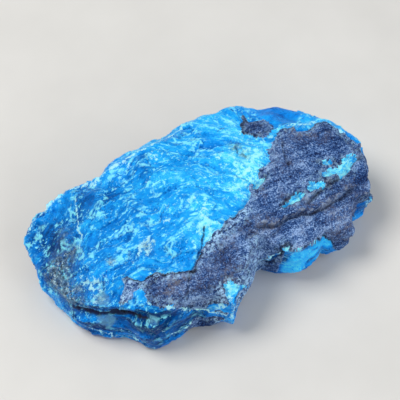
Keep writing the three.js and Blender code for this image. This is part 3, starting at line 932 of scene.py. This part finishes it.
def crust_material():
    """Dull bedded crust. A noise counts its scale per metre."""
    m = Tree("crust")
    place = m.object_place()

    # Body
    bedded = m.scaled(place, (0.16, 1, 1))
    grain = m.noise(place, 1300, 5, 0.7) - 0.5
    grit = m.noise(m.shifted(place, (2, 5, 3)), 2600, 3, 0.6) - 0.5
    streaks = m.noise(bedded, 460, 6, 0.7) - 0.5
    patches = m.noise(place, 130, 4) - 0.5
    tone = m.value("crust_tone") + grain * 1.4 + grit * 2.5 + streaks * 2.2 + patches * 1.2 + 0.52
    colour = m.ramp(tone, CRUST_RAMP)

    # Brown patches, pale sparks with the painted highlight of edges and lips, amber crumbs, and painted shade
    # in gaps and hollows
    sparks = m.noise(m.shifted(place, (1, 4, 2)), 1400, 3, 0.6).step(0.66, 0.72)
    earthy = m.value("earth") + m.noise(place, 170, 3).step(0.48, 0.64) * 0.6
    earthy = earthy * m.noise(place, 900, 5, 0.75).step(0.4, 0.58)
    colour = m.painted(colour, EARTH_COLOUR, earthy * 0.5)
    # painted highlight on the crust's raised edges and ledge lips
    lip_highlights = m.value("edge").step(1.0, 2.4).most(m.value("lip")) * m.noise(place, 700, 5, 0.7).step(0.46, 0.58)
    colour = m.painted(colour, SPARK_AND_HIGHLIGHT_COLOUR, sparks.most(lip_highlights * 0.7) * 0.8)
    crumbly = m.value("cover").step(3, 0.2) * 0.6 + m.value("crumble")
    crumbs = crumbly * m.noise(m.shifted(place, (5, 2, 1)), 900, 6, 0.75).step(0.48, 0.57)
    colour = m.painted(colour, CRUST_CRUMB_COLOUR, crumbs * 0.8)
    # painted shade at the ledges' feet, in gaps, cracks and hollows
    dark = m.value("shade").most(m.value("hollow").step(0.6, 2.4) * 0.35)
    colour = m.painted(colour, CRUST_SHADE_COLOUR, dark * 0.92)

    return m.finish(
        Base_Color=colour,
        Roughness=CRUST_ROUGHNESS,
        Normal=m.bump(m.noise(place, 1800, 5, 0.7), 0.7, CRUST_BUMP),
        IOR=CRUST_IOR,
        Specular_IOR_Level=CRUST_SPECULAR,
    )


def floor_material():
    m = Tree("floor")
    shade = m.ramp(m.noise(m.object_place(), 30, 3), FLOOR_RAMP)
    return m.finish(Base_Color=shade, Roughness=FLOOR_ROUGHNESS)


def build_floor():
    half = FLOOR_HALF * MM
    corners = [(-half, -half, 0), (half, -half, 0), (half, half, 0), (-half, half, 0)]
    mesh = bpy.data.meshes.new("floor")
    mesh.from_pydata(corners, [], [(0, 1, 2, 3)])
    floor = bpy.data.objects.new("floor", mesh)
    bpy.context.scene.collection.objects.link(floor)
    mesh.materials.append(floor_material())


def aimed(obj, place, target):
    """Puts an object at a place, facing a target."""
    obj.location = place
    obj.rotation_euler = (target - place).to_track_quat("-Z", "Y").to_euler()
    bpy.context.scene.collection.objects.link(obj)


def build_lights():
    for name, place, diameter, power, colour in LIGHTS:
        light = bpy.data.lights.new(name, "AREA")
        light.shape = "DISK"
        light.size = diameter * MM
        light.energy = power
        light.color = colour
        aimed(bpy.data.objects.new(name, light), Vector(place) * MM, Vector(LIGHT_TARGET) * MM)
    world = bpy.data.worlds.new("studio")
    world.use_nodes = True
    background = world.node_tree.nodes["Background"]
    background.inputs["Color"].default_value = WORLD_COLOUR
    background.inputs["Strength"].default_value = WORLD_STRENGTH
    bpy.context.scene.world = world


def build_camera():
    e, a = math.radians(ELEVATION), math.radians(AZIMUTH)
    back = Vector((math.sin(a) * math.cos(e), -math.cos(a) * math.cos(e), math.sin(e)))
    target = Vector(TARGET) * MM
    data = bpy.data.cameras.new("camera")
    data.sensor_width = SENSOR
    data.lens = FOCAL_PIXELS / FRAME_PIXELS * SENSOR
    data.clip_start = CLIP_START * MM
    camera = bpy.data.objects.new("camera", data)
    aimed(camera, target + back * DISTANCE * MM, target)
    bpy.context.scene.camera = camera


def build_nugget():
    nugget = bpy.data.objects.new("amber_nugget", build_skin(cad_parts["nugget"]))
    bpy.context.scene.collection.objects.link(nugget)
    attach(nugget, "root")
    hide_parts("nugget")


build_camera()
build_nugget()
build_floor()
build_lights()
bpy.context.scene.view_settings.view_transform = "Standard"
